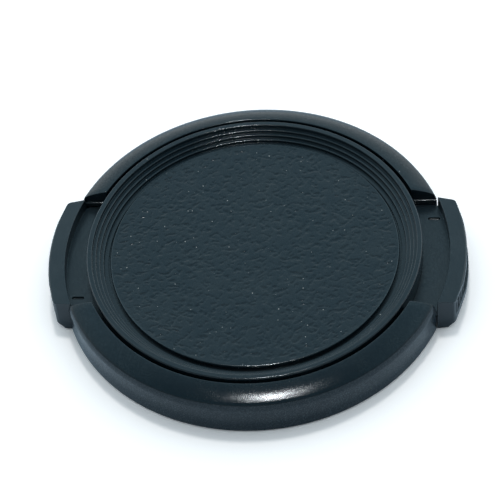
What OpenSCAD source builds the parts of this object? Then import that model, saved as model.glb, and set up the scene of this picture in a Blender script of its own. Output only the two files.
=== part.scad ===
// Push-on lens cap with two sprung side latches, front face up.
// Origin: centre of the rear edge that the cap rests on. +Z towards the front face, +X through a latch.

/* [Filter thread] */
// Radius of the filter thread that the jaws grip
thread_r = 26; // [24.5:0.25:31]
// Distance from the thread to the outer wall of the rim
rim_out = 2.9; // [2.6:0.05:3.2]

/* [Grained panel] */
// Thickness of the panel
panel_t = 1; // [0.8:0.05:1.3]
// Depth of the pocket that the panel is let into
pocket_d = 0.3; // [0.1:0.05:0.35]
// Gap round the panel in its pocket
panel_gap = 0.34; // [0.2:0.01:0.45]
// Rounding of the panel's top edge
panel_edge = 0.2; // [0.1:0.05:0.35]

/* [Stepped cover] */
// Thickness of the web under the lowest tread
web_t = 0.85; // [0.6:0.05:1.1]
// Width of the lowest tread, outside the pocket
low_tread_w = 0.66; // [0.5:0.02:1.1]
// Number of risers between the lowest tread and the front land
risers = 4; // [3:1:5]
// Width of each tread between two risers
tread_w = 0.53; // [0.45:0.01:0.65]
// Height of each riser but the last
riser_h = 0.52; // [0.4:0.02:0.54]
// Height of the cover from its seat to the front land
cover_h = 3.08; // [2.9:0.02:3.3]
// Width of the flat front land
land_w = 0.81; // [0.6:0.01:1.2]
// Small chamfer on every convex step edge
step_edge = 0.07; // [0.03:0.01:0.12]
// Chamfer round the outside of the front land
land_edge = 0.15; // [0.08:0.01:0.25]
// Radius of the pegs that hold the cover to the body
peg_r = 1; // [0.8:0.05:1.2]
// Distance of the pegs inside the ring that the cover sits on
peg_in = 4.4; // [3.4:0.1:5.4]

/* [Rim] */
// Width of the dark groove between cover and rim
groove_w = 0.53; // [0.35:0.01:0.8]
// Width of the rim from the groove to the outer wall
rim_w = 3.47; // [3:0.01:4]
// Height of the rim's inner edge above the base
rim_h = 6.93; // [6.5:0.01:7.4]
// Fall of the rim's top from the inner edge to the crease
rim_fall = 1.05; // [0.7:0.01:1.4]
// Radius of the arc across the rim's top
rim_arc_r = 8; // [5:0.25:20]
// Distance of the crease inside the outer wall
crease_in = 0.35; // [0.2:0.01:0.6]
// Height of the curved shoulder below the crease
shoulder_h = 1.28; // [0.8:0.02:2]
// Chamfer on the rim's inner edge
rim_edge = 0.1; // [0.05:0.01:0.2]
// Chamfer round the outside of the base
base_edge = 0.25; // [0.1:0.05:0.4]

/* [Rear side] */
// Radial gap between the rear plate and the thread
plate_gap = 0.4; // [0.2:0.05:0.8]
// Thickness of the skirt round the lens ring
skirt_t = 1.5; // [1.1:0.05:1.7]
// Depth of the rear plate above the base
recess_d = 1.2; // [0.8:0.05:1.5]
// Thickness of the rear plate
floor_t = 0.7; // [0.5:0.05:0.9]
// Depth of the channel that takes the lens ring
channel_d = 3; // [2.6:0.05:3.2]
// Height of the hollow under the rim, above the channel
core_h = 2.3; // [1.5:0.05:2.5]
// Wall between the hollow and the groove round the cover
core_wall = 0.97; // [0.8:0.01:1.2]

/* [Latches] */
// Width of the thumb grip across its top
grip_w = 20.3; // [17:0.1:21]
// Gap between the grip's top and each side of its opening in the rim
bay_gap = 0.5; // [0.4:0.05:0.9]
// Inward step of the guide ledge at the foot of the opening
ledge_w = 0.2; // [0.15:0.01:0.3]
// Height of the guide ledge above the latch's shelf
ledge_h = 0.8; // [0.4:0.05:1.2]
// Full height of the latch's sliding part
slide_h = 1.9; // [1.7:0.05:2.2]
// Thickness of the latch's shelf
shelf_t = 1.3; // [1:0.05:1.5]
// Distance of the latch's inner bar from the centre
bar_x = 13; // [12:0.25:14]
// Thickness of the inner bar
bar_t = 1.2; // [0.9:0.05:1.5]
// Depth of the grip at its top, outwards
grip_d = 2.5; // [2:0.05:3]
// Height of the grip's top inner edge above the base
grip_h = 5.8; // [5.5:0.05:6.4]
// Fall of the grip's top towards the outside
grip_fall = 0.3; // [0.1:0.02:0.5]
// How far the grip's lower lip stands out past its top edge
lip_out = 0.2; // [0.1:0.01:0.6]
// How much each end of the grip slants in over its depth
end_slant = 0.26; // [0.1:0.02:0.5]
// Radius of the grip's upright corners
grip_corner = 0.6; // [0.3:0.05:0.9]
// Pitch of the grip ribs along the outer face
rib_pitch = 1.25; // [1:0.05:1.6]
// Radius of each grip rib
rib_r = 0.32; // [0.2:0.01:0.4]
// Depth of the ribbed recess in the grip's outer face
rib_recess = 0.45; // [0.3:0.01:0.6]
// Width of the threaded jaw
jaw_w = 17; // [14:0.25:18]
// Radial thickness of the jaw behind its ridges
jaw_t = 1.2; // [0.9:0.05:1.5]
// Pitch of the ridges on the jaw
thread_pitch = 0.75; // [0.6:0.05:0.9]
// Height of the ridges on the jaw
ridge_h = 0.4; // [0.25:0.01:0.45]
// Inward travel of a latch from its outer stop
travel = 2.2; // [1.6:0.05:2.4]
// How far the left latch sits in from its outer stop
left_in = 0.6; // [0:0.05:0.9]

/* [Springs] */
// Outside diameter of a coil spring
spring_d = 1.8; // [1.4:0.05:1.9]
// Diameter of the spring wire
wire_d = 0.26; // [0.2:0.01:0.32]
// Turns of a spring
turns = 9; // [7:1:11]
// Distance of each spring from the centre line
spring_y = 5.5; // [4:0.25:7]
// Thickness of the rib that the springs push against
rib_t = 1.2; // [0.9:0.05:1.6]

/* [Clearances] */
// Running clearance under the latches
run_gap = 0.1; // [0.08:0.01:0.15]
// Clearance between the latch's shelf and the cover
top_gap = 0.15; // [0.1:0.01:0.2]
// Sideways clearance of the latch in its guides
side_gap = 0.1; // [0.08:0.01:0.15]
// Clearance round the jaw in its slot
slot_gap = 0.3; // [0.2:0.05:0.5]
// Radial clearance round a cover peg
peg_gap = 0.05; // [0.03:0.01:0.08]

/* [Hidden] */
// Overrun of a cut past the face it cuts
over = 1;
// Smoothness of round forms
round_fn = 120;
arc_steps = 8;
corner_steps = 5;

// Levels above the base
floor_top = recess_d + floor_t;
slide_z = floor_top + run_gap;
shelf_z = slide_z + slide_h;
shelf_under = shelf_z - shelf_t;
seat_z = shelf_z + top_gap;
tread_z = seat_z + web_t;
pocket_z = tread_z - pocket_d;
face_z = seat_z + cover_h;
crease_z = rim_h - rim_fall;
ledge_z = shelf_z + ledge_h;

// Radii, from the outer wall inwards
rim_r = thread_r + rim_out;
rim_in_r = rim_r - rim_w;
cover_r = rim_in_r - groove_w;
last_riser_r = cover_r - land_w;
first_riser_r = last_riser_r - (risers - 1) * tread_w;
pocket_r = first_riser_r - low_tread_w;
panel_r = pocket_r - panel_gap;
crease_r = rim_r - crease_in;
skirt_in_r = rim_r - skirt_t;
plate_r = thread_r - plate_gap;
core_in_r = rim_in_r + core_wall;
// Width of the ring that the cover sits on
seat_w = 1.5;
seat_in_r = cover_r - seat_w;
core_top = channel_d + core_h;
// Wall left between the hollow rim and each latch opening
end_wall = 1;

// Coring under the cover's steps
cover_wall = 1.1;
cover_core_h = 1;

// Pegs and their bosses
peg_boss_t = 0.9;
peg_circle_r = seat_in_r - peg_in;
peg_angles = [55, 125, 235, 305];

// Latch openings and guides
bay_w = grip_w + 2 * bay_gap;
half_bay = bay_w / 2;
half_run = half_bay - ledge_w;
half_slide = half_run - side_gap;
guide_t = 0.8;
guide_x = bar_x - travel - bar_t;
jaw_root_r = thread_r - ridge_h;
jaw_in_r = jaw_root_r - jaw_t;
jaw_bottom = 0.4;
half_slot = jaw_w / 2 + slot_gap;
jaw_inner_x = sqrt(pow(jaw_in_r, 2) - pow(jaw_w / 2, 2));
slot_x = jaw_inner_x - travel - slot_gap;
stop_gap = 0.1;
stop_x = bar_x + bar_t + stop_gap;
stop_l = 1.2;
stop_w = 2;
stop_in = 2.3;
stop_y = half_slide - stop_in;

// Grip section
grip_in_r = rim_r;
grip_top_r = grip_in_r + grip_d;
lip_r = grip_top_r + lip_out;
grip_bottom = 0.1;
grip_foot_d = 1.5;
foot_edge = 0.3;
foot_slope_h = 0.6;
lip_bottom = 1.15;
lip_h = 1.05;
lip_edge = 0.25;
grip_edge = 0.2;
shelf_short = 0.3;
// The ends of the grip lean in from the width of the slide to the width of the top
top_share = grip_w / 2 / half_slide;
// Sunk mould gate in the shelf, in front of the grip and to one side
gate_l = 1.8;
gate_w = 0.55;
gate_d = 0.35;
gate_in = 2.4;
gate_side = 7.5;
border_t = 0.7;
border_slope = 0.15;
recess_bottom = lip_bottom + lip_h;
recess_top = grip_h - grip_fall - border_t;
rib_floor_r = grip_top_r - rib_recess;
ribs_half = grip_w / 2 - border_t - rib_r - border_slope;
rib_step = rib_pitch / rib_floor_r * 180 / PI;
rib_count = floor(asin(ribs_half / rib_floor_r) / rib_step);

// Springs and their pegs
spring_z = slide_z + spring_d / 2 + (seat_z - slide_z - spring_d) / 2;
spring_peg_gap = 0.1;
spring_peg_r = spring_d / 2 - wire_d - spring_peg_gap;
spring_peg_l = 1.4;
coil_gap = 0.04;
rib_side = 2.5;
rib_half_w = spring_y + rib_side;
ring_steps = 10;
wire_sides = 6;
spring_room = bar_x - rib_t / 2;

// Points of an arc of radius r from p to q that bulges to the left of the way from p to q
function arc(p, q, r, n) =
    let (chord = norm(q - p), rr = max(r, chord), half = asin(chord / 2 / rr),
        mid = (p + q) / 2, side = [p[1] - q[1], q[0] - p[0]] / chord,
        centre = mid - side * rr * cos(half),
        start = atan2(p[1] - centre[1], p[0] - centre[0]))
    [for (i = [0:n]) centre + rr * [cos(start - 2 * half * i / n), sin(start - 2 * half * i / n)]];

// Radius of an arc that ends upright and moves out by across over a height of up
function upright_arc_r(across, up) = (pow(across, 2) + pow(up, 2)) / (2 * across);

// Section of the body: rim, skirt, channel, seat ring and rear plate
module body_section() {
    shoulder = arc([crease_r, crease_z], [rim_r, crease_z - shoulder_h],
        upright_arc_r(crease_in, shoulder_h), arc_steps);
    crown = arc([rim_in_r + rim_edge, rim_h], [crease_r, crease_z], rim_arc_r, arc_steps);
    polygon(concat(
        [[0, recess_d], [plate_r - base_edge, recess_d], [plate_r, recess_d + base_edge],
        [plate_r, channel_d], [skirt_in_r, channel_d], [skirt_in_r, base_edge],
        [skirt_in_r + base_edge, 0], [rim_r - base_edge, 0], [rim_r, base_edge]],
        [for (i = [arc_steps:-1:1]) shoulder[i]],
        [for (i = [arc_steps:-1:0]) crown[i]],
        [[rim_in_r, rim_h - rim_edge], [rim_in_r, seat_z], [seat_in_r, seat_z],
        [seat_in_r, floor_top], [0, floor_top]]));
}

// Hollow under the rim, closed at each latch opening
module rim_core() {
    difference() {
        rotate_extrude($fn = round_fn)
            translate([core_in_r, channel_d - over])
                square([skirt_in_r - core_in_r, core_h + over]);
        translate([-rim_r - over, -half_bay - end_wall, -over])
            cube([2 * (rim_r + over), bay_w + 2 * end_wall, core_top + 2 * over]);
    }
}

// Everything that one latch passes through, on the +X side
module latch_bay() {
    // Opening in the rim, wide above the guide ledge
    difference() {
        translate([0, -half_bay, ledge_z])
            cube([rim_r + over, bay_w, rim_h + over]);
        translate([0, 0, ledge_z - over])
            cylinder(r = seat_in_r, h = rim_h + 3 * over, $fn = round_fn);
    }
    // Opening in the rim below the ledge, down through the skirt
    difference() {
        translate([0, -half_run, -over])
            cube([rim_r + over, 2 * half_run, ledge_z + 2 * over]);
        translate([0, 0, -2 * over])
            cylinder(r = plate_r, h = ledge_z + 4 * over, $fn = round_fn);
    }
    // Way of the shelf through the seat ring
    translate([stop_x, -half_run, shelf_under - run_gap])
        cube([rim_r - stop_x, 2 * half_run, ledge_z]);
    // Slot of the jaw through the rear plate and the ring
    translate([slot_x, -half_slot, -over])
        cube([rim_r - slot_x, 2 * half_slot, shelf_under + over]);
}

// Guides, stops and spring rib on the rear plate, inside the case
module case_details() {
    translate([-rib_t / 2, -rib_half_w, floor_top - floor_t / 2])
        cube([rib_t, 2 * rib_half_w, seat_z - floor_top + floor_t / 2]);
    for (side = [1, -1]) {
        for (y = [-spring_y, spring_y])
            translate([side * rib_t / 2, y, spring_z])
                rotate([0, side * 90, 0])
                    cylinder(r = spring_peg_r, h = spring_peg_l, $fn = 32);
        for (y = [-stop_y, stop_y])
            translate([side * (stop_x + stop_l / 2) - stop_l / 2, y - stop_w / 2, floor_top - floor_t / 2])
                cube([stop_l, stop_w, shelf_under - run_gap - floor_top + floor_t / 2]);
    }
    for (y = [-half_run - guide_t, half_run])
        intersection() {
            translate([-seat_in_r, y, floor_top - floor_t / 2])
                cube([2 * seat_in_r, guide_t, seat_z - floor_top + floor_t / 2]);
            cylinder(r = seat_in_r + seat_w / 2, h = rim_h, $fn = round_fn);
            difference() {
                translate([-rim_r, -rim_r, 0])
                    cube([2 * rim_r, 2 * rim_r, rim_h]);
                translate([-guide_x, -rim_r - over, -over])
                    cube([2 * guide_x, 2 * (rim_r + over), rim_h + 2 * over]);
            }
        }
}

module peg_bosses() {
    for (a = peg_angles)
        rotate(a)
            translate([peg_circle_r, 0, floor_top - floor_t / 2])
                cylinder(r = peg_r + peg_boss_t, h = seat_z - floor_top + floor_t / 2, $fn = 48);
}

module peg_holes() {
    for (a = peg_angles)
        rotate(a)
            translate([peg_circle_r, 0, 0])
                cylinder(r = peg_r + peg_gap, h = seat_z + over, $fn = 48);
}

module body() {
    color([0.16, 0.18, 0.2])
        difference() {
            union() {
                difference() {
                    rotate_extrude($fn = round_fn) body_section();
                    rim_core();
                    for (turn = [0, 180]) rotate(turn) latch_bay();
                }
                case_details();
                peg_bosses();
            }
            peg_holes();
        }
}

// Half section of the stepped cover: steps rise outwards to the front land
module cover_section() {
    stairs = [for (i = [0:risers - 1])
        let (r = first_riser_r + i * tread_w,
            low = tread_z + i * riser_h,
            high = i == risers - 1 ? face_z : low + riser_h)
        each [[r, low], [r, high - step_edge], [r + step_edge, high]]];
    polygon(concat(
        [[0, seat_z], [0, pocket_z], [pocket_r, pocket_z], [pocket_r, tread_z]],
        stairs,
        [[cover_r - land_edge, face_z], [cover_r, face_z - land_edge], [cover_r, seat_z],
        [cover_r - cover_wall, seat_z], [cover_r - cover_wall, seat_z + cover_core_h],
        [first_riser_r, seat_z + cover_core_h - riser_h], [first_riser_r, seat_z]]));
}

module front_cover() {
    color([0.17, 0.19, 0.21]) {
        union() {
            rotate_extrude($fn = round_fn) cover_section();
            for (a = peg_angles)
                rotate(a)
                    translate([peg_circle_r, 0, recess_d])
                        cylinder(r = peg_r, h = seat_z - recess_d + web_t / 2, $fn = 48);
        }
    }
}

module grain_panel() {
    rounding = arc([panel_r - panel_edge, pocket_z + panel_t], [panel_r, pocket_z + panel_t - panel_edge],
        panel_edge * sqrt(2), corner_steps);
    color([0.19, 0.21, 0.23])
        rotate_extrude($fn = round_fn)
            polygon(concat([[0, pocket_z], [0, pocket_z + panel_t]], rounding, [[panel_r, pocket_z]]));
}

// Plan of the grip at the base: straight ends that slant in a little, with rounded outer corners
module grip_plan() {
    half = half_slide;
    depth = lip_r - grip_in_r;
    inner_x = sqrt(pow(grip_in_r, 2) - pow(half, 2)) - grip_d;
    outer_x = sqrt(pow(lip_r, 2) - pow(half, 2));
    outer_half = half - end_slant;
    corner = arc([outer_x - grip_corner, outer_half], [outer_x, outer_half - grip_corner],
        grip_corner * sqrt(2), corner_steps);
    mirrored = [for (i = [corner_steps:-1:0]) [corner[i][0], -corner[i][1]]];
    polygon(concat([[inner_x, -half], [inner_x, half], [outer_x - depth, half]], corner,
        [[lip_r + over, 0]], mirrored, [[outer_x - depth, -half]]));
}

// Section of the grip, as radius and height
module grip_section() {
    top_z = grip_h - grip_fall;
    polygon([[grip_in_r, grip_bottom], [grip_in_r + grip_foot_d, grip_bottom],
        [grip_in_r + grip_foot_d + foot_edge, lip_bottom - foot_slope_h],
        [lip_r - lip_edge, lip_bottom], [lip_r, lip_bottom + lip_edge],
        [lip_r, recess_bottom], [grip_top_r, top_z - grip_edge],
        [grip_top_r - grip_edge, top_z], [grip_in_r, grip_h]]);
}

// Ribbed recess in the grip's outer face
module grip_recess() {
    half = grip_w / 2 - border_t;
    intersection() {
        rotate_extrude($fn = round_fn)
            polygon([[rib_floor_r, recess_bottom + border_slope], [rib_floor_r, recess_top],
                [lip_r + over, recess_top + border_slope], [lip_r + over, recess_bottom]]);
        translate([0, -half, 0])
            cube([lip_r + over, 2 * half, grip_h]);
    }
}

module grip_ribs() {
    for (i = [-rib_count:rib_count])
        rotate(i * rib_step)
            translate([rib_floor_r, 0, recess_bottom])
                cylinder(r = rib_r, h = recess_top + border_slope - recess_bottom, $fn = 16);
}

module grip() {
    rise = grip_h + over;
    difference() {
        intersection() {
            rotate_extrude($fn = round_fn) grip_section();
            linear_extrude(height = rise, scale = [1, 1 - (1 - top_share) * rise / grip_h]) grip_plan();
        }
        grip_recess();
    }
    grip_ribs();
}

// Section of the jaw with ridges that match the filter thread
module jaw_section() {
    ridge_count = floor((shelf_under - jaw_bottom) / thread_pitch);
    ridges = [for (i = [0:ridge_count - 1])
        let (z = jaw_bottom + i * thread_pitch)
        each [[jaw_root_r, z], [thread_r, z + thread_pitch / 2]]];
    polygon(concat([[jaw_in_r, shelf_z - shelf_t / 2], [jaw_in_r, jaw_bottom]], ridges,
        [[jaw_root_r, jaw_bottom + ridge_count * thread_pitch], [jaw_root_r, shelf_z - shelf_t / 2]]));
}

module jaw() {
    intersection() {
        rotate_extrude($fn = round_fn) jaw_section();
        translate([0, -jaw_w / 2, 0])
            cube([rim_r, jaw_w, shelf_z]);
    }
}

// Slot with round ends that the mould's gate leaves in the shelf
module gate() {
    for (along = [-1, 1])
        translate([grip_in_r - gate_in + along * (gate_l - gate_w) / 2, gate_side, shelf_z - gate_d])
            cylinder(d = gate_w, h = gate_d + over, $fn = 24);
    translate([grip_in_r - gate_in - (gate_l - gate_w) / 2, gate_side - gate_w / 2, shelf_z - gate_d])
        cube([gate_l - gate_w, gate_w, gate_d + over]);
}

// One latch in place on the +X side, at its outer stop
module latch() {
    // Shelf that slides between the rear plate and the cover, narrower where it joins the grip
    difference() {
        intersection() {
            union() {
                intersection() {
                    translate([bar_x, -half_slide, shelf_under])
                        cube([grip_top_r, 2 * half_slide, shelf_t]);
                    cylinder(r = grip_in_r - shelf_short, h = shelf_z + over, $fn = round_fn);
                }
                translate([bar_x, -grip_w / 2, shelf_under])
                    cube([grip_top_r, grip_w, shelf_t]);
            }
            cylinder(r = grip_in_r + grip_edge, h = shelf_z + over, $fn = round_fn);
        }
        gate();
    }
    // Inner bar with a peg for each spring
    translate([bar_x, -half_slide, slide_z])
        cube([bar_t, 2 * half_slide, slide_h]);
    for (y = [-spring_y, spring_y])
        translate([bar_x - spring_peg_l, y, spring_z])
            rotate([0, 90, 0])
                cylinder(r = spring_peg_r, h = spring_peg_l + bar_t / 2, $fn = 32);
    jaw();
    grip();
}

module latch_right() {
    color([0.16, 0.18, 0.2]) latch();
}

module latch_left() {
    color([0.16, 0.18, 0.2])
        translate([left_in, 0, 0]) rotate(180) latch();
}

// Distance along a spring with a closed turn at each end, in turns from 0 to all
function coil_run(t, length) =
    let (closed = wire_d + coil_gap, free = (length - wire_d - 2 * closed) / (turns - 2))
    wire_d / 2 + (t < 1 ? t * closed
        : t > turns - 1 ? closed + (turns - 2) * free + (t - turns + 1) * closed
        : closed + (t - 1) * free);

// Coil spring along +X, wire swept round a helix
module coil_spring(length) {
    coil_r = (spring_d - wire_d) / 2;
    last = turns * ring_steps;
    rings = [for (i = [0:last])
        let (a = 360 * i / ring_steps, x = coil_run(i / ring_steps, length))
        for (j = [0:wire_sides - 1])
            let (b = 360 * j / wire_sides, r = coil_r + wire_d / 2 * cos(b))
            [x + wire_d / 2 * sin(b), r * cos(a), r * sin(a)]];
    walls = [for (i = [0:last - 1], j = [0:wire_sides - 1])
        let (k = (j + 1) % wire_sides, p = i * wire_sides, q = p + wire_sides)
        each [[p + j, q + j, q + k], [p + j, q + k, p + k]]];
    ends = [[for (j = [0:wire_sides - 1]) j],
        [for (j = [wire_sides - 1:-1:0]) last * wire_sides + j]];
    polyhedron(points = rings, faces = concat(walls, ends));
}

module spring_at(side, y, length) {
    color([0.75, 0.76, 0.78])
        translate([side * rib_t / 2, y, spring_z])
            rotate(side > 0 ? 0 : 180) coil_spring(length);
}

module spring_right_near() { spring_at(1, -spring_y, spring_room); }
module spring_right_far() { spring_at(1, spring_y, spring_room); }
module spring_left_near() { spring_at(-1, -spring_y, spring_room - left_in); }
module spring_left_far() { spring_at(-1, spring_y, spring_room - left_in); }

body();
front_cover();
grain_panel();
latch_right();
latch_left();
spring_right_near();
spring_right_far();
spring_left_near();
spring_left_far();
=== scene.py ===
# Push-on lens cap: camera, light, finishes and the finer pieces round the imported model
import math

import bmesh
import bpy
from mathutils import Matrix, Vector, noise


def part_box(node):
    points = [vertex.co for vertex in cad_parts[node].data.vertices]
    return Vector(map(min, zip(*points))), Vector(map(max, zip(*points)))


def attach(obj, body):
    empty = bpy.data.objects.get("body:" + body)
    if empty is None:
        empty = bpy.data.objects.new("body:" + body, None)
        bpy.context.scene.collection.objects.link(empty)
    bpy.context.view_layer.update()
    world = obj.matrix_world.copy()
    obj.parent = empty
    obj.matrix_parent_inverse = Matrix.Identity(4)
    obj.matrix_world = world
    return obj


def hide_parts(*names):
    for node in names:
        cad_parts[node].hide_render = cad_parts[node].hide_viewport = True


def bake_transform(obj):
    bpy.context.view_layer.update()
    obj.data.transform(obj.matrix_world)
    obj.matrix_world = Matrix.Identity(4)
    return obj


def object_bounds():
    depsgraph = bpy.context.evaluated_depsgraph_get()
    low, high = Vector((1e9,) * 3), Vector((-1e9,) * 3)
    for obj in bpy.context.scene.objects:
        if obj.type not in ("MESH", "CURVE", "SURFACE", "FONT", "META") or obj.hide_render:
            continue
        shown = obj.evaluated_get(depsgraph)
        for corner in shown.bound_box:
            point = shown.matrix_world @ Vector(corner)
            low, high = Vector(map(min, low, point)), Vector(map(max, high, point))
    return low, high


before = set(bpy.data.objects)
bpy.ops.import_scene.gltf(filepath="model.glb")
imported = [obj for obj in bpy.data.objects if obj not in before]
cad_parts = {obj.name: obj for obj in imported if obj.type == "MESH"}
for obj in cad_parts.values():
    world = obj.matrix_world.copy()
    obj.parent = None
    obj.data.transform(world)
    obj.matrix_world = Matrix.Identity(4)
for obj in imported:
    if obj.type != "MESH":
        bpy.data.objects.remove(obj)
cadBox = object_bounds()
mm = 0.001
print("frame loaded")


# camera at the photograph's angle; lengths in millimetres
cameraSet = {
    "target": (-0.683, 0.449, 5.6),
    "distance": 341.455,
    "azimuth": 8.5,
    "elevation": 49.615,
    "roll": -6.839,
    "lens": 165.6,
    "sensor": 36,
}


def makeCamera(s):
    azimuth, elevation, roll = (math.radians(s[k]) for k in ("azimuth", "elevation", "roll"))
    back = Vector((math.sin(azimuth) * math.cos(elevation),
                   -math.cos(azimuth) * math.cos(elevation), math.sin(elevation)))
    level = Vector((math.cos(azimuth), math.sin(azimuth), 0))
    right = level * math.cos(roll) + back.cross(level) * math.sin(roll)
    turn = Matrix((right, back.cross(right), back)).transposed().to_4x4()
    data = bpy.data.cameras.new("camera")
    data.lens, data.sensor_width = s["lens"], s["sensor"]
    data.clip_start, data.clip_end = 0.01, 10
    camera = bpy.data.objects.new("camera", data)
    camera.matrix_world = Matrix.Translation((Vector(s["target"]) + back * s["distance"]) * mm) @ turn
    bpy.context.scene.collection.objects.link(camera)
    bpy.context.scene.camera = camera


makeCamera(cameraSet)
bpy.context.scene.view_settings.view_transform = "Standard"
print("camera set")


# node helpers
def addNode(tree, kind, place=(0, 0), **values):
    node = tree.nodes.new(kind)
    node.location = place
    for name, value in values.items():
        if hasattr(node, name):
            setattr(node, name, value)
        else:
            node.inputs[name].default_value = value
    return node


def wire(tree, source, target):
    tree.links.new(source, target)


# two lamps overhead, and a white room that is brighter on the far side of the object
lightSet = {
    "lamps": {
        # the far one lights the paper and throws the shadow; the near one shows as the highlight on the rim
        "farLamp": {"direction": (0.0, 0.31, 1.0), "distance": 0.7, "size": (0.07, 0.08), "power": 1.2,
                    "colour": (1.0, 0.99, 0.97), "lights": True},
        "nearLamp": {"direction": (0.038, -0.220, 1.0), "distance": 0.7, "size": (0.05, 0.10), "power": 2.3,
                     "colour": (0.92, 0.97, 1.0), "lights": False},
    },
    # colour of the room by height, from the horizon (0) to straight up (1)
    "room": ((0.0, (0.88, 0.97, 1.0)), (0.30, (0.57, 0.68, 0.73)), (0.52, (0.45, 0.61, 0.68)),
             (0.76, (0.37, 0.57, 0.68)), (0.90, (0.25, 0.37, 0.43)), (1.0, (0.20, 0.28, 0.33))),
    "roomStrength": 1.3,
    "nearShare": (0.34, 0.36),    # near side beside the far side, for the room and for the sky
    "sky": 1.25,             # level of the soft light that matt surfaces get
    "skyColour": (0.84, 0.94, 1.0),
    "floorSize": 3,
    "floorColour": (0.80, 0.83, 0.87),
    "mirroredFloor": (0.60, 0.73, 0.84),   # as reflections see it
    "shownFloor": (1.22, 1.21, 1.21),      # as the camera sees it, so that lit paper is white
}


def makeWorld(s):
    world = bpy.data.worlds.new("room")
    world.use_nodes = True
    tree = world.node_tree
    tree.nodes.clear()
    coords = addNode(tree, "ShaderNodeTexCoord")
    split = addNode(tree, "ShaderNodeSeparateXYZ")
    ramp = addNode(tree, "ShaderNodeValToRGB")
    stops = ramp.color_ramp.elements
    while len(stops) < len(s["room"]):
        stops.new(1)
    for stop, (height, colour) in zip(stops, s["room"]):
        stop.position, stop.color = height, (*colour, 1)
    depths = []
    for share, strength in zip(s["nearShare"], (s["roomStrength"], s["sky"])):
        depth = addNode(tree, "ShaderNodeMapRange", interpolation_type="SMOOTHSTEP")
        depth.inputs["From Min"].default_value, depth.inputs["From Max"].default_value = -0.5, 0.5
        depth.inputs["To Min"].default_value = share * strength
        depth.inputs["To Max"].default_value = strength
        wire(tree, split.outputs["Y"], depth.inputs["Value"])
        depths.append(depth)
    lit = addNode(tree, "ShaderNodeBackground")
    soft = addNode(tree, "ShaderNodeBackground", Color=(*s["skyColour"], 1))
    shown = addNode(tree, "ShaderNodeBackground", Color=(1, 1, 1, 1))
    path = addNode(tree, "ShaderNodeLightPath")
    matt = addNode(tree, "ShaderNodeMixShader")
    pick = addNode(tree, "ShaderNodeMixShader")
    out = addNode(tree, "ShaderNodeOutputWorld")
    wire(tree, coords.outputs["Generated"], split.inputs[0])
    wire(tree, split.outputs["Z"], ramp.inputs[0])
    wire(tree, ramp.outputs["Color"], lit.inputs["Color"])
    wire(tree, depths[0].outputs[0], lit.inputs["Strength"])
    wire(tree, depths[1].outputs[0], soft.inputs["Strength"])
    wire(tree, path.outputs["Is Diffuse Ray"], matt.inputs[0])
    wire(tree, lit.outputs[0], matt.inputs[1])
    wire(tree, soft.outputs[0], matt.inputs[2])
    wire(tree, path.outputs["Is Camera Ray"], pick.inputs[0])
    wire(tree, matt.outputs[0], pick.inputs[1])
    wire(tree, shown.outputs[0], pick.inputs[2])
    wire(tree, pick.outputs[0], out.inputs["Surface"])
    bpy.context.scene.world = world


def makeLamp(name, s):
    data = bpy.data.lights.new(name, "AREA")
    data.shape = "RECTANGLE"
    data.size, data.size_y = s["size"]
    data.energy, data.color = s["power"], s["colour"]
    lamp = bpy.data.objects.new(name, data)
    direction = Vector(s["direction"]).normalized()
    turn = direction.to_track_quat("Z", "Y").to_matrix().to_4x4()
    lamp.matrix_world = Matrix.Translation(direction * s["distance"]) @ turn
    lamp.visible_diffuse, lamp.visible_glossy = s["lights"], not s["lights"]
    bpy.context.scene.collection.objects.link(lamp)


def makeFloor(s):
    bm = bmesh.new()
    bmesh.ops.create_grid(bm, x_segments=1, y_segments=1, size=s["floorSize"] / 2)
    bmesh.ops.translate(bm, verts=bm.verts, vec=(0, 0, cadBox[0].z - 0.02 * mm))
    mesh = bpy.data.meshes.new("floor")
    bm.to_mesh(mesh)
    floor = bpy.data.objects.new("floor", mesh)
    bpy.context.scene.collection.objects.link(floor)
    paper = bpy.data.materials.new("whitePaper")
    paper.use_nodes = True
    tree = paper.node_tree
    tree.nodes.clear()
    path = addNode(tree, "ShaderNodeLightPath")
    glossy = addNode(tree, "ShaderNodeMath", operation="MAXIMUM")
    mirrored = addNode(tree, "ShaderNodeMix", data_type="RGBA")
    mirrored.inputs[6].default_value = (*s["floorColour"], 1)
    mirrored.inputs[7].default_value = (*s["mirroredFloor"], 1)
    shown = addNode(tree, "ShaderNodeMix", data_type="RGBA")
    shown.inputs[7].default_value = (*s["shownFloor"], 1)
    sheet = addNode(tree, "ShaderNodeBsdfDiffuse")
    out = addNode(tree, "ShaderNodeOutputMaterial")
    wire(tree, path.outputs["Is Glossy Ray"], glossy.inputs[0])
    wire(tree, path.outputs["Is Transmission Ray"], glossy.inputs[1])
    wire(tree, glossy.outputs[0], mirrored.inputs["Factor"])
    wire(tree, path.outputs["Is Camera Ray"], shown.inputs["Factor"])
    wire(tree, mirrored.outputs[2], shown.inputs[6])
    wire(tree, shown.outputs[2], sheet.inputs["Color"])
    wire(tree, sheet.outputs[0], out.inputs["Surface"])
    mesh.materials.append(paper)


makeWorld(lightSet)
for name, lamp in lightSet["lamps"].items():
    makeLamp(name, lamp)
makeFloor(lightSet)
print("room, lamps and floor set")


# shared effects, as node groups with named inputs and outputs
def newGroup(name, inputs, outputs):
    group = bpy.data.node_groups.new(name, "ShaderNodeTree")
    for label, kind, value in inputs:
        socket = group.interface.new_socket(label, in_out="INPUT", socket_type=kind)
        if value is not None:
            socket.default_value = value
    for label, kind in outputs:
        group.interface.new_socket(label, in_out="OUTPUT", socket_type=kind)
    return group, addNode(group, "NodeGroupInput", (-900, 0)), addNode(group, "NodeGroupOutput", (600, 0))


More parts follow.
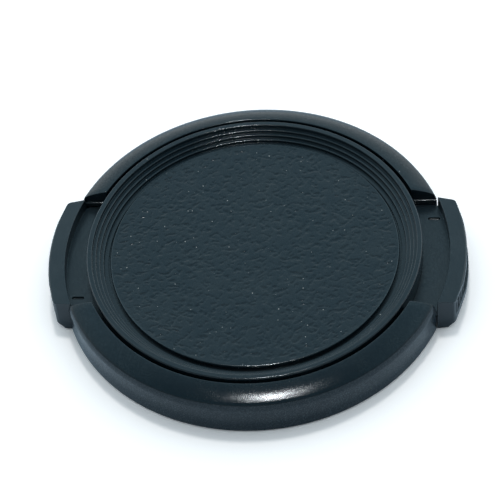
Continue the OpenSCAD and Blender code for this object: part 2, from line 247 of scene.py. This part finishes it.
def makeDustGroup():
    # small round specks, only in some of the cells
    group, given, result = newGroup("dustSpecks", [
        ("Vector", "NodeSocketVector", None), ("Scale", "NodeSocketFloat", 500),
        ("Size", "NodeSocketFloat", 0.05), ("Share", "NodeSocketFloat", 0.2)],
        [("Mask", "NodeSocketFloat")])
    cells = addNode(group, "ShaderNodeTexVoronoi", (-650, 0))
    lot = addNode(group, "ShaderNodeSeparateColor", (-450, -120))
    chosen = addNode(group, "ShaderNodeMath", (-250, -120), operation="LESS_THAN")
    wide = addNode(group, "ShaderNodeMath", (-250, -300), operation="MULTIPLY")
    near = addNode(group, "ShaderNodeMapRange", (-50, 60), interpolation_type="SMOOTHSTEP")
    near.inputs["To Min"].default_value, near.inputs["To Max"].default_value = 1, 0
    both = addNode(group, "ShaderNodeMath", (250, 0), operation="MULTIPLY")
    wire(group, given.outputs["Vector"], cells.inputs["Vector"])
    wire(group, given.outputs["Scale"], cells.inputs["Scale"])
    wire(group, cells.outputs["Color"], lot.inputs[0])
    wire(group, lot.outputs[0], chosen.inputs[0])
    wire(group, given.outputs["Share"], chosen.inputs[1])
    wire(group, lot.outputs[1], wide.inputs[0])
    wire(group, given.outputs["Size"], wide.inputs[1])
    wire(group, cells.outputs["Distance"], near.inputs["Value"])
    wire(group, wide.outputs[0], near.inputs["From Max"])
    wire(group, near.outputs[0], both.inputs[0])
    wire(group, chosen.outputs[0], both.inputs[1])
    wire(group, both.outputs[0], result.inputs["Mask"])
    return group


def makeMarksGroup():
    # soft patches left by fingers and by wiping
    group, given, result = newGroup("handlingMarks", [
        ("Vector", "NodeSocketVector", None), ("Scale", "NodeSocketFloat", 120),
        ("Low", "NodeSocketFloat", 0.2), ("High", "NodeSocketFloat", 0.3)],
        [("Roughness", "NodeSocketFloat"), ("Mask", "NodeSocketFloat")])
    broad = addNode(group, "ShaderNodeTexNoise", (-650, 0), Detail=4, Roughness=0.6, Distortion=0.8)
    level = addNode(group, "ShaderNodeMapRange", (-400, 0), interpolation_type="SMOOTHSTEP")
    level.inputs["From Min"].default_value, level.inputs["From Max"].default_value = 0.35, 0.7
    spread = addNode(group, "ShaderNodeMapRange", (-100, 0))
    wire(group, given.outputs["Vector"], broad.inputs["Vector"])
    wire(group, given.outputs["Scale"], broad.inputs["Scale"])
    wire(group, broad.outputs["Fac"], level.inputs["Value"])
    wire(group, level.outputs[0], spread.inputs["Value"])
    wire(group, given.outputs["Low"], spread.inputs["To Min"])
    wire(group, given.outputs["High"], spread.inputs["To Max"])
    wire(group, spread.outputs[0], result.inputs["Roughness"])
    wire(group, level.outputs[0], result.inputs["Mask"])
    return group


def makeMouldGroup():
    # fine pitted texture that the mould leaves on the plastic, glossy on its highest grains
    group, given, result = newGroup("mouldTexture", [
        ("Vector", "NodeSocketVector", None), ("Scale", "NodeSocketFloat", 6000),
        ("Ripple", "NodeSocketFloat", 0.3), ("Dull", "NodeSocketFloat", 0.1),
        ("Glossy", "NodeSocketFloat", 0.8)],
        [("Height", "NodeSocketFloat"), ("Gloss", "NodeSocketFloat")])
    grains = addNode(group, "ShaderNodeMapRange", (0, -300), interpolation_type="SMOOTHSTEP")
    grains.inputs["From Min"].default_value, grains.inputs["From Max"].default_value = 0.45, 0.66
    fine = addNode(group, "ShaderNodeTexNoise", (-600, 100), Detail=3, Roughness=0.65)
    slow = addNode(group, "ShaderNodeMath", (-800, -200), operation="MULTIPLY")
    slow.inputs[1].default_value = 0.06
    broad = addNode(group, "ShaderNodeTexNoise", (-600, -200), Detail=2)
    part = addNode(group, "ShaderNodeMath", (-300, -200), operation="MULTIPLY")
    both = addNode(group, "ShaderNodeMath", (0, 0), operation="ADD")
    wire(group, given.outputs["Vector"], fine.inputs["Vector"])
    wire(group, given.outputs["Vector"], broad.inputs["Vector"])
    wire(group, given.outputs["Scale"], fine.inputs["Scale"])
    wire(group, given.outputs["Scale"], slow.inputs[0])
    wire(group, slow.outputs[0], broad.inputs["Scale"])
    wire(group, broad.outputs["Fac"], part.inputs[0])
    wire(group, given.outputs["Ripple"], part.inputs[1])
    wire(group, fine.outputs["Fac"], both.inputs[0])
    wire(group, part.outputs[0], both.inputs[1])
    wire(group, both.outputs[0], result.inputs["Height"])
    wire(group, fine.outputs["Fac"], grains.inputs["Value"])
    wire(group, given.outputs["Dull"], grains.inputs["To Min"])
    wire(group, given.outputs["Glossy"], grains.inputs["To Max"])
    wire(group, grains.outputs[0], result.inputs["Gloss"])
    return group


dustSpecks = makeDustGroup()
handlingMarks = makeMarksGroup()
mouldTexture = makeMouldGroup()


def useGroup(tree, group, place, coords, **values):
    node = addNode(tree, "ShaderNodeGroup", place)
    node.node_tree = group
    for name, value in values.items():
        node.inputs[name].default_value = value
    wire(tree, coords, node.inputs["Vector"])
    return node


# black plastics; the room's blue shows in them as it does in the photograph
plasticSet = {
    "case": {"colour": (0.0025, 0.0095, 0.0150), "film": (0.008, 0.016, 0.021), "roughness": (0.13, 0.17),
             "markScale": 150, "texture": 5000, "ripple": 0.3, "depth": 0.016, "specular": 0.36,
             "gloss": (0.0, 0.6), "coatRoughness": 0.12, "dust": (800, 0.17, 0.10)},
    "latch": {"colour": (0.0030, 0.0110, 0.0170), "film": (0.010, 0.020, 0.026), "roughness": (0.32, 0.40),
              "markScale": 150, "texture": 6500, "ripple": 0.5, "depth": 0.005, "specular": 0.38,
              "gloss": (0.15, 0.85), "coatRoughness": 0.22, "dust": (800, 0.17, 0.10)},
    "cover": {"colour": (0.0030, 0.0110, 0.0170), "film": (0.010, 0.020, 0.026), "roughness": (0.26, 0.32),
              "markScale": 180, "texture": 6500, "ripple": 0.4, "depth": 0.005, "specular": 0.46,
              "gloss": (0.0, 0.30), "coatRoughness": 0.15, "dust": (800, 0.15, 0.12)},
    "panel": {"colour": (0.0030, 0.0110, 0.0170), "film": (0.011, 0.021, 0.026), "roughness": (0.20, 0.26),
              "markScale": 260, "texture": 5200, "ripple": 0.8, "depth": 0.010, "specular": 0.43,
              "gloss": (0.0, 0.3), "coatRoughness": 0.2, "dust": (1000, 0.14, 0.75)},
    "edge": {"colour": (0.0030, 0.0110, 0.0170), "film": (0.010, 0.020, 0.026), "roughness": (0.12, 0.18),
             "markScale": 400, "texture": 2600, "ripple": 0.4, "depth": 0.040, "specular": 0.85,
             "gloss": (0.0, 0.6), "coatRoughness": 0.10, "dust": (900, 0.10, 0.10)},
}
dustColour = (0.42, 0.44, 0.43, 1)


def makePlastic(name, s):
    material = bpy.data.materials.new(name)
    material.use_nodes = True
    tree = material.node_tree
    shader = tree.nodes["Principled BSDF"]
    shader.inputs["IOR"].default_value = 1.5
    shader.inputs["Specular IOR Level"].default_value = s["specular"]
    shader.inputs["Coat Roughness"].default_value = s["coatRoughness"]
    coords = addNode(tree, "ShaderNodeTexCoord", (-1300, 0)).outputs["Object"]
    marks = useGroup(tree, handlingMarks, (-1000, 200), coords, Scale=s["markScale"],
                     Low=s["roughness"][0], High=s["roughness"][1])
    scale, size, share = s["dust"]
    dust = useGroup(tree, dustSpecks, (-1000, -100), coords, Scale=scale, Size=size, Share=share)
    dull, glossy = s["gloss"]
    pits = useGroup(tree, mouldTexture, (-1000, -400), coords, Scale=s["texture"], Ripple=s["ripple"],
                    Dull=dull, Glossy=glossy)
    tint = addNode(tree, "ShaderNodeMix", (-700, 300), data_type="RGBA")
    tint.inputs[6].default_value, tint.inputs[7].default_value = (*s["colour"], 1), (*s["film"], 1)
    faint = addNode(tree, "ShaderNodeMath", (-850, 350), operation="MULTIPLY")
    faint.inputs[1].default_value = 0.35
    dusty = addNode(tree, "ShaderNodeMix", (-250, 300), data_type="RGBA")
    dusty.inputs[7].default_value = dustColour
    rough = addNode(tree, "ShaderNodeMix", (-250, 0), data_type="FLOAT")
    rough.inputs[3].default_value = 0.85
    bump = addNode(tree, "ShaderNodeBump", (-450, -300), Strength=1.0)
    bump.inputs["Distance"].default_value = s["depth"] * mm
    wire(tree, marks.outputs["Mask"], faint.inputs[0])
    wire(tree, faint.outputs[0], tint.inputs["Factor"])
    wire(tree, dust.outputs["Mask"], dusty.inputs["Factor"])
    wire(tree, tint.outputs[2], dusty.inputs[6])
    wire(tree, dusty.outputs[2], shader.inputs["Base Color"])
    wire(tree, dust.outputs["Mask"], rough.inputs["Factor"])
    wire(tree, marks.outputs["Roughness"], rough.inputs[2])
    wire(tree, rough.outputs[0], shader.inputs["Roughness"])
    wire(tree, pits.outputs["Gloss"], shader.inputs["Coat Weight"])
    wire(tree, pits.outputs["Height"], bump.inputs["Height"])
    wire(tree, bump.outputs[0], shader.inputs["Normal"])
    return material


# drawn spring wire, with a fine noise bump and duller patches
wireSet = {"colour": (0.56, 0.57, 0.58), "dull": (0.30, 0.30, 0.31), "roughness": (0.18, 0.34),
           "markScale": 900, "texture": 12000, "depth": 0.003}


def makeWireSteel(name, s):
    material = bpy.data.materials.new(name)
    material.use_nodes = True
    tree = material.node_tree
    shader = tree.nodes["Principled BSDF"]
    shader.inputs["Metallic"].default_value = 1
    coords = addNode(tree, "ShaderNodeTexCoord", (-1300, 0)).outputs["Object"]
    marks = useGroup(tree, handlingMarks, (-1000, 200), coords, Scale=s["markScale"],
                     Low=s["roughness"][0], High=s["roughness"][1])
    lines = useGroup(tree, mouldTexture, (-1000, -300), coords, Scale=s["texture"], Ripple=0.5)
    tint = addNode(tree, "ShaderNodeMix", (-600, 200), data_type="RGBA")
    tint.inputs[6].default_value, tint.inputs[7].default_value = (*s["colour"], 1), (*s["dull"], 1)
    bump = addNode(tree, "ShaderNodeBump", (-500, -300))
    bump.inputs["Distance"].default_value = s["depth"] * mm
    wire(tree, marks.outputs["Mask"], tint.inputs["Factor"])
    wire(tree, tint.outputs[2], shader.inputs["Base Color"])
    wire(tree, marks.outputs["Roughness"], shader.inputs["Roughness"])
    wire(tree, lines.outputs["Height"], bump.inputs["Height"])
    wire(tree, bump.outputs[0], shader.inputs["Normal"])
    return material


casePlastic = makePlastic("casePlastic", plasticSet["case"])
latchPlastic = makePlastic("latchPlastic", plasticSet["latch"])
coverPlastic = makePlastic("coverPlastic", plasticSet["cover"])
panelPlastic = makePlastic("panelPlastic", plasticSet["panel"])
edgePlastic = makePlastic("edgePlastic", plasticSet["edge"])
wireSteel = makeWireSteel("wireSteel", wireSet)
print("materials made")


# pieces are built in millimetres and end in metres, in place
def finishPiece(name, bm, nodes, materials, sharp=26):
    bmesh.ops.scale(bm, vec=(mm, mm, mm), verts=bm.verts)
    mesh = bpy.data.meshes.new(name)
    bm.to_mesh(mesh)
    bm.free()
    mesh.shade_smooth()
    mesh.set_sharp_from_angle(angle=math.radians(sharp))
    for material in materials:
        mesh.materials.append(material)
    piece = bpy.data.objects.new(name, mesh)
    bpy.context.scene.collection.objects.link(piece)
    flats = piece.modifiers.new("flatFaces", "WEIGHTED_NORMAL")
    flats.keep_sharp, flats.weight = True, 100
    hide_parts(*nodes)
    return piece


# moulded pieces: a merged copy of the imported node, with its sharp edges rounded and rubbed shiny
# each pass rounds the edges whose faces meet at an angle between its two limits
softSet = {
    "case": (("square", 60, 180, 0.08), ("chamfered", 32, 60, 0.035)),
    "cover": (("square", 60, 180, 0.04), ("chamfered", 32, 60, 0.04)),
    "latch": (("square", 60, 180, 0.07), ("chamfered", 32, 60, 0.04)),
}


def softenedCopy(node, passes):
    bm = bmesh.new()
    bm.from_mesh(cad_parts[node].data)
    bmesh.ops.scale(bm, vec=(1 / mm, 1 / mm, 1 / mm), verts=bm.verts)
    bmesh.ops.remove_doubles(bm, verts=bm.verts, dist=0.001)
    bmesh.ops.dissolve_limit(bm, angle_limit=math.radians(0.4), verts=bm.verts, edges=bm.edges)
    for kind, least, most, width in passes:
        edges = [e for e in bm.edges if math.radians(least) < e.calc_face_angle() <= math.radians(most)]
        made = bmesh.ops.bevel(bm, geom=edges, offset=width, offset_type="OFFSET", segments=3,
                               profile=0.5, affect="EDGES", clamp_overlap=False, material=-1)
        for face in made["faces"]:
            face.material_index = 1
        print(node, kind, "edges:", len(edges))
    return bm


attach(finishPiece("capCase", softenedCopy("body", softSet["case"]), ["body"],
                    [casePlastic, edgePlastic]), "case")
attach(finishPiece("steppedCover", softenedCopy("front_cover", softSet["cover"]), ["front_cover"],
                    [coverPlastic, edgePlastic]), "case")
for side in ("right", "left"):
    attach(finishPiece(side + "Latch", softenedCopy("latch_" + side, softSet["latch"]), ["latch_" + side],
                        [latchPlastic, edgePlastic]), side + "_latch")
print("case, cover and latches rounded")


# grained panel: an even grid pressed into a disc, with the leather grain as real relief
panelSet = {
    "grid": 290,
    "edgeRadius": 0.2,
    "edgeSteps": 5,
    "cell": 1.3,         # mean size of the grain's cells
    "valley": 0.30,      # width of a crease between cells
    "depth": 0.070,      # depth of the creases
    "share": (0.44, 0.56),    # levels of the noise that leaves creases out, and leaves them whole
    "crown": 0.02,       # fall of each cell towards its border
    "wrinkle": 0.010,    # height of the finer wrinkles
    "wrinkleSize": 0.5,
    "warp": 0.45,        # how far the cells are pushed out of shape
    "rimFade": 0.5,      # width over which the grain dies out at the edge
}


def smoothStep(low, high, value):
    share = min(max((value - low) / (high - low), 0), 1)
    return share * share * (3 - 2 * share)


def grainHeight(x, y, s):
    # how far the leather lies below its highest level at one point: short broken creases round flat cells
    place = Vector((x, y, 0)) / s["cell"]
    place += noise.noise_vector(place * 0.9) * s["warp"] + noise.noise_vector(place * 2.3) * s["warp"] / 2
    near, second = noise.voronoi(place)[0][:2]
    crease = 1 - smoothStep(0, s["valley"], (second - near) * s["cell"])
    keep = smoothStep(*s["share"], 0.5 + 0.5 * noise.noise(place * 1.6 + Vector((7, 3, 1))))
    coarse = noise.noise(Vector((x, y, 4)) / s["wrinkleSize"])
    fine = noise.noise(Vector((x, y, 9)) / s["wrinkleSize"] * 2) / 2
    wrinkle = s["wrinkle"] * (0.5 + 0.5 * (coarse + fine))
    return s["depth"] * crease * keep + s["crown"] * min(near, 1) + wrinkle


def makePanel(s):
    low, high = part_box("grain_panel")
    radius, top, bottom = high.x / mm, high.z / mm, low.z / mm
    flat = radius - s["edgeRadius"]
    bm = bmesh.new()
    bmesh.ops.create_grid(bm, x_segments=s["grid"], y_segments=s["grid"], size=1)
    for v in bm.verts:
        x, y = v.co.x, v.co.y
        x, y = x * math.sqrt(1 - y * y / 2) * flat, y * math.sqrt(1 - x * x / 2) * flat
        fade = min(max((flat - math.hypot(x, y)) / s["rimFade"], 0), 1)
        v.co = (x, y, top - grainHeight(x, y, s) * fade)
    border = [e for e in bm.edges if e.is_boundary]
    steps = s["edgeSteps"]
    for i in range(1, steps + 2):
        turn = math.radians(90 * min(i, steps) / steps)
        ring = flat + s["edgeRadius"] * math.sin(turn)
        level = top - s["edgeRadius"] * (1 - math.cos(turn)) if i <= steps else bottom
        made = bmesh.ops.extrude_edge_only(bm, edges=border)["geom"]
        border = [g for g in made if isinstance(g, bmesh.types.BMEdge)]
        for face in (g for g in made if isinstance(g, bmesh.types.BMFace)):
            face.material_index = 1
        for v in {v for e in border for v in e.verts}:
            out = math.hypot(v.co.x, v.co.y)
            v.co = (v.co.x * ring / out, v.co.y * ring / out, level)
    bmesh.ops.edgeloop_fill(bm, edges=border)
    bmesh.ops.recalc_face_normals(bm, faces=bm.faces)
    return bm


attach(finishPiece("leatherPanel", makePanel(panelSet), ["grain_panel"],
                    [panelPlastic, edgePlastic], 50), "case")
print("grained panel made")


# springs: a round wire spun into a coil, with a closed turn at each end
springSet = {"wire": 0.26, "sides": 10, "turns": 9, "stepsPerTurn": 28, "closedGap": 0.04}


def makeSpring(node, towards, s):
    low, high = (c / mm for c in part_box(node))
    start = low.x if towards > 0 else high.x
    length, middle = high.x - low.x, (low + high) / 2
    coilRadius = (high.y - low.y) / 2 - s["wire"] / 2
    closed = s["wire"] + s["closedGap"]
    free = (length - s["wire"] - 2 * closed) / (s["turns"] - 2)
    bm = bmesh.new()
    made = bmesh.ops.create_circle(bm, segments=s["sides"], radius=s["wire"] / 2, cap_ends=True)
    place = Matrix.Translation((start + towards * s["wire"] / 2, middle.y + coilRadius, middle.z))
    bmesh.ops.transform(bm, matrix=place, verts=made["verts"])
    geom = bm.verts[:] + bm.edges[:] + bm.faces[:]
    for count, pitch in ((1, closed), (s["turns"] - 2, free), (1, closed)):
        steps = s["stepsPerTurn"] * count
        made = bmesh.ops.spin(bm, geom=geom, cent=(0, middle.y, middle.z), axis=(1, 0, 0),
                              dvec=(towards * pitch * count / steps, 0, 0), angle=math.radians(360 * count),
                              steps=steps, use_merge=False, use_duplicate=False)
        geom = made["geom_last"]
    bmesh.ops.remove_doubles(bm, verts=bm.verts, dist=0.0005)
    bmesh.ops.recalc_face_normals(bm, faces=bm.faces)
    return bm


for side, towards in (("right", 1), ("left", -1)):
    for place in ("near", "far"):
        node = f"spring_{side}_{place}"
        spring = finishPiece(side + place.title() + "Spring", makeSpring(node, towards, springSet), [node],
                             [wireSteel], 60)
        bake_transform(spring)
print("springs made")
